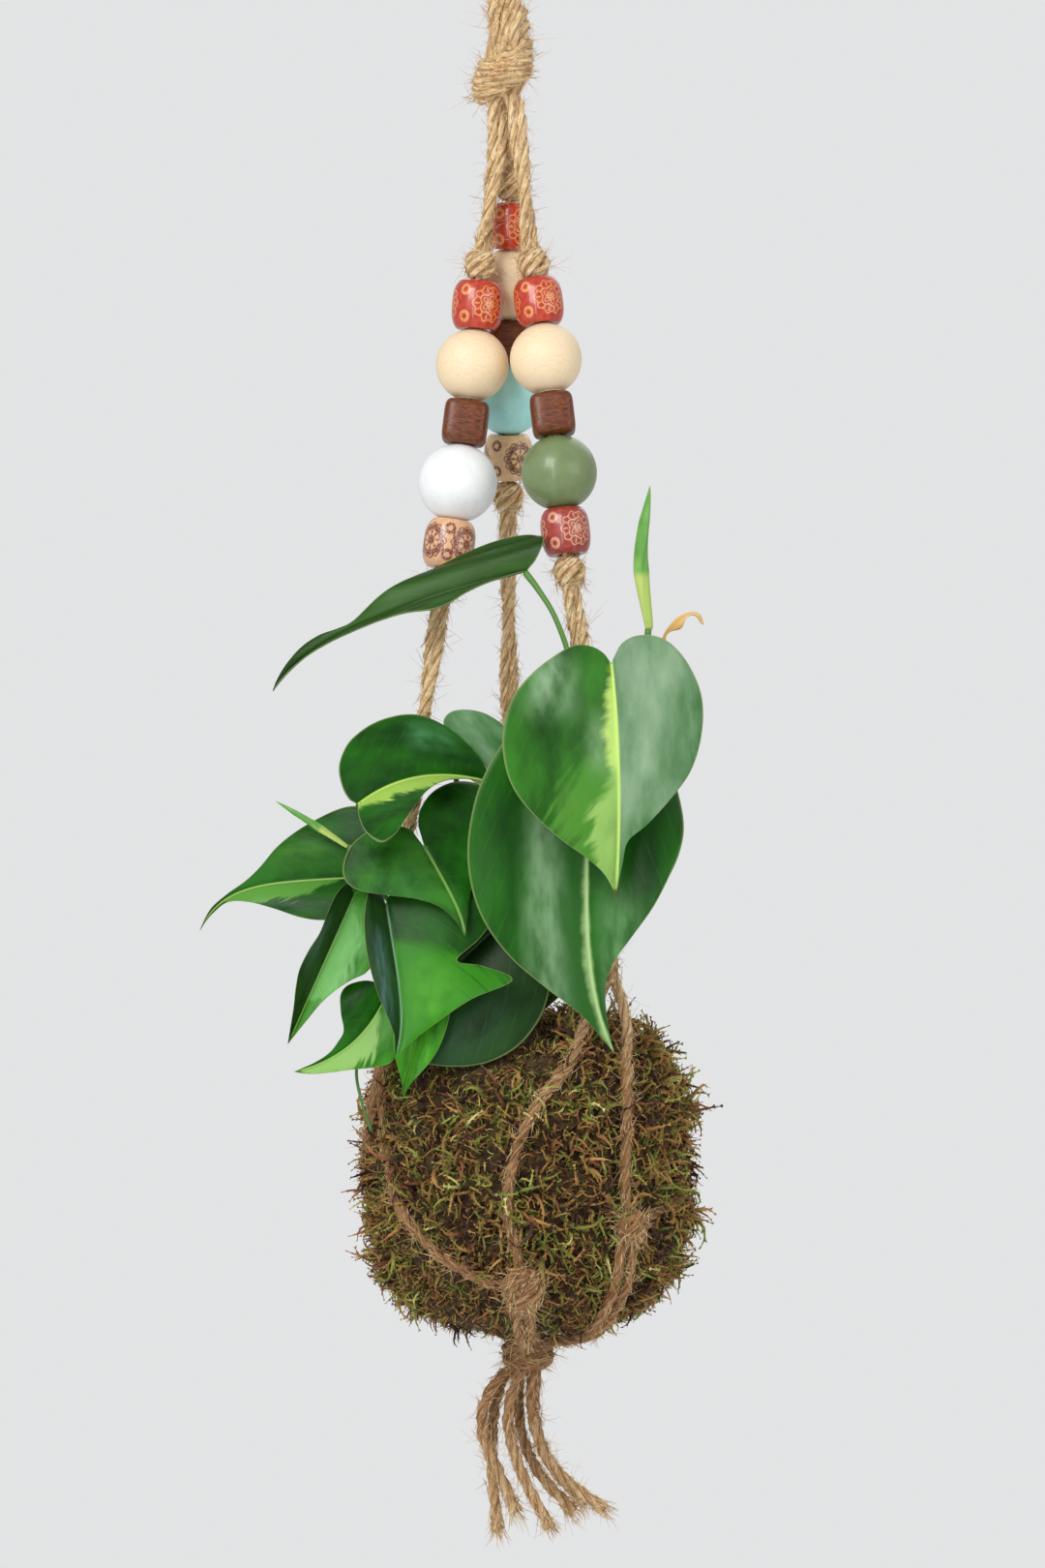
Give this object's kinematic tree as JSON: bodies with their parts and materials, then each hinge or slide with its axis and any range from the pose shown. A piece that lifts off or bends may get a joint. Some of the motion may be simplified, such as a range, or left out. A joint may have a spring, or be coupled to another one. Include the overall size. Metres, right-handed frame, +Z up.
{
  "type": "hanging macrame planter",
  "caption": "Hanging planter of knotted jute cord with beaded arms that carry a moss ball and a heart-leaf plant, with a cord tassel below.",
  "frame": {"origin": "top of the hanging loop, where its hook or ceiling fitting holds it", "axes": "+Z up, -Y towards the viewer's side with the large front leaf, +X to the viewer's right"},
  "size_m": [0.1706, 0.1353, 0.5772],
  "materials": {
    "jute": "matte",
    "natural_wood": "satin",
    "dark_wood": "satin",
    "red_print": "gloss",
    "cream_print": "gloss",
    "white_paint": "satin",
    "sage_paint": "gloss",
    "turquoise_paint": "satin",
    "moss": "matte",
    "soil": "matte",
    "leaf": "satin",
    "stalk": "satin",
    "dry_leaf": "matte"
  },
  "bodies": {
    "loop": {"hanging_loop": "jute"},
    "knot": {"top_knot": "jute"},
    "hanger": {"left_upper_cords": "jute", "left_bead_cords": "jute", "left_lower_cords": "jute", "right_upper_cords": "jute", "right_bead_cords": "jute", "right_lower_cords": "jute", "rear_upper_cords": "jute", "rear_bead_cords": "jute", "rear_lower_cords": "jute", "moss_cover": "moss", "soil_ball": "soil", "left_net_cord_front": "jute", "left_net_cord_back": "jute", "right_net_cord_front": "jute", "right_net_cord_back": "jute", "rear_net_cord_left": "jute", "rear_net_cord_right": "jute", "front_net_knot": "jute", "right_net_knot": "jute", "back_net_knot": "jute", "bottom_knot": "jute", "front_leaf": "leaf", "long_leaf": "leaf", "top_leaf": "leaf", "folded_leaf": "leaf", "pale_leaf": "leaf", "pointed_leaf": "leaf", "left_leaf": "leaf", "bright_leaf": "leaf", "grey_leaf": "leaf", "lime_leaf": "leaf", "low_leaf": "leaf", "dark_leaf": "leaf", "rolled_leaf": "leaf", "thin_leaf": "leaf", "dry_sheath": "dry_leaf", "stems": "stalk"},
    "tassel": {"tassel_cord_1": "jute", "tassel_cord_2": "jute", "tassel_cord_3": "jute", "tassel_cord_4": "jute", "tassel_cord_5": "jute", "tassel_cord_6": "jute"},
    "left_red_bead": {"left_red_bead": "red_print"},
    "left_natural_bead": {"left_natural_bead": "natural_wood"},
    "left_cube_bead": {"left_cube_bead": "dark_wood"},
    "left_painted_bead": {"left_painted_bead": "white_paint"},
    "left_printed_bead": {"left_printed_bead": "cream_print"},
    "right_red_bead": {"right_red_bead": "red_print"},
    "right_natural_bead": {"right_natural_bead": "natural_wood"},
    "right_cube_bead": {"right_cube_bead": "dark_wood"},
    "right_painted_bead": {"right_painted_bead": "sage_paint"},
    "right_printed_bead": {"right_printed_bead": "cream_print"},
    "rear_red_bead": {"rear_red_bead": "red_print"},
    "rear_natural_bead": {"rear_natural_bead": "natural_wood"},
    "rear_cube_bead": {"rear_cube_bead": "dark_wood"},
    "rear_painted_bead": {"rear_painted_bead": "turquoise_paint"},
    "rear_printed_bead": {"rear_printed_bead": "cream_print"}
  },
  "joints": [
    {"name": "swing_side", "type": "hinge", "parent": "loop", "child": "knot", "pos_m": [-0.0024, 0, -0.056], "axis": [0, 1, 0], "range_deg": [-20, 20]},
    {"name": "swing_front", "type": "hinge", "parent": "knot", "child": "hanger", "pos_m": [-0.0024, 0, -0.086], "axis": [1, 0, 0], "range_deg": [-20, 20]},
    {"name": "tassel_swing", "type": "hinge", "parent": "hanger", "child": "tassel", "pos_m": [0.006, 0, -0.521], "axis": [0, 1, 0], "range_deg": [-15, 15]},
    {"name": "left_red_bead_spin", "type": "hinge", "parent": "hanger", "child": "left_red_bead", "pos_m": [-0.01145, -0.00511, -0.15594], "axis": [0.0744, 0.0216, 0.997], "continuous": true},
    {"name": "left_natural_bead_spin", "type": "hinge", "parent": "hanger", "child": "left_natural_bead", "pos_m": [-0.01324, -0.00581, -0.17637], "axis": [0.1037, 0.0497, 0.9934], "continuous": true},
    {"name": "left_cube_bead_spin", "type": "hinge", "parent": "hanger", "child": "left_cube_bead", "pos_m": [-0.01552, -0.007, -0.19624], "axis": [0.1216, 0.0662, 0.9904], "continuous": true},
    {"name": "left_painted_bead_spin", "type": "hinge", "parent": "hanger", "child": "left_painted_bead", "pos_m": [-0.01818, -0.00845, -0.21695], "axis": [0.1339, 0.0741, 0.9882], "continuous": true},
    {"name": "left_printed_bead_spin", "type": "hinge", "parent": "hanger", "child": "left_printed_bead", "pos_m": [-0.02114, -0.0101, -0.23809], "axis": [0.1402, 0.0787, 0.987], "continuous": true},
    {"name": "right_red_bead_spin", "type": "hinge", "parent": "hanger", "child": "right_red_bead", "pos_m": [0.00951, -0.0109, -0.1554], "axis": [-0.1262, 0.1253, 0.9841], "continuous": true},
    {"name": "right_natural_bead_spin", "type": "hinge", "parent": "hanger", "child": "right_natural_bead", "pos_m": [0.01197, -0.01338, -0.17505], "axis": [-0.1191, 0.1236, 0.9852], "continuous": true},
    {"name": "right_cube_bead_spin", "type": "hinge", "parent": "hanger", "child": "right_cube_bead", "pos_m": [0.01425, -0.01579, -0.19431], "axis": [-0.1139, 0.1207, 0.9861], "continuous": true},
    {"name": "right_painted_bead_spin", "type": "hinge", "parent": "hanger", "child": "right_painted_bead", "pos_m": [0.01647, -0.01806, -0.21411], "axis": [-0.1066, 0.1039, 0.9889], "continuous": true},
    {"name": "right_printed_bead_spin", "type": "hinge", "parent": "hanger", "child": "right_printed_bead", "pos_m": [0.01859, -0.02008, -0.23437], "axis": [-0.1024, 0.0958, 0.9901], "continuous": true},
    {"name": "rear_red_bead_spin", "type": "hinge", "parent": "hanger", "child": "rear_red_bead", "pos_m": [0.00004, 0.00954, -0.12654], "axis": [-0.0031, -0.1562, 0.9877], "continuous": true},
    {"name": "rear_natural_bead_spin", "type": "hinge", "parent": "hanger", "child": "rear_natural_bead", "pos_m": [-0.00007, 0.01273, -0.14653], "axis": [0.0176, -0.1586, 0.9872], "continuous": true},
    {"name": "rear_cube_bead_spin", "type": "hinge", "parent": "hanger", "child": "rear_cube_bead", "pos_m": [-0.00053, 0.01586, -0.16591], "axis": [0.0248, -0.1605, 0.9867], "continuous": true},
    {"name": "rear_painted_bead_spin", "type": "hinge", "parent": "hanger", "child": "rear_painted_bead", "pos_m": [-0.00087, 0.01908, -0.1855], "axis": [0.0083, -0.1644, 0.9864], "continuous": true},
    {"name": "rear_printed_bead_spin", "type": "hinge", "parent": "hanger", "child": "rear_printed_bead", "pos_m": [-0.00096, 0.02247, -0.20568], "axis": [0.0022, -0.1665, 0.986], "continuous": true}
  ]
}
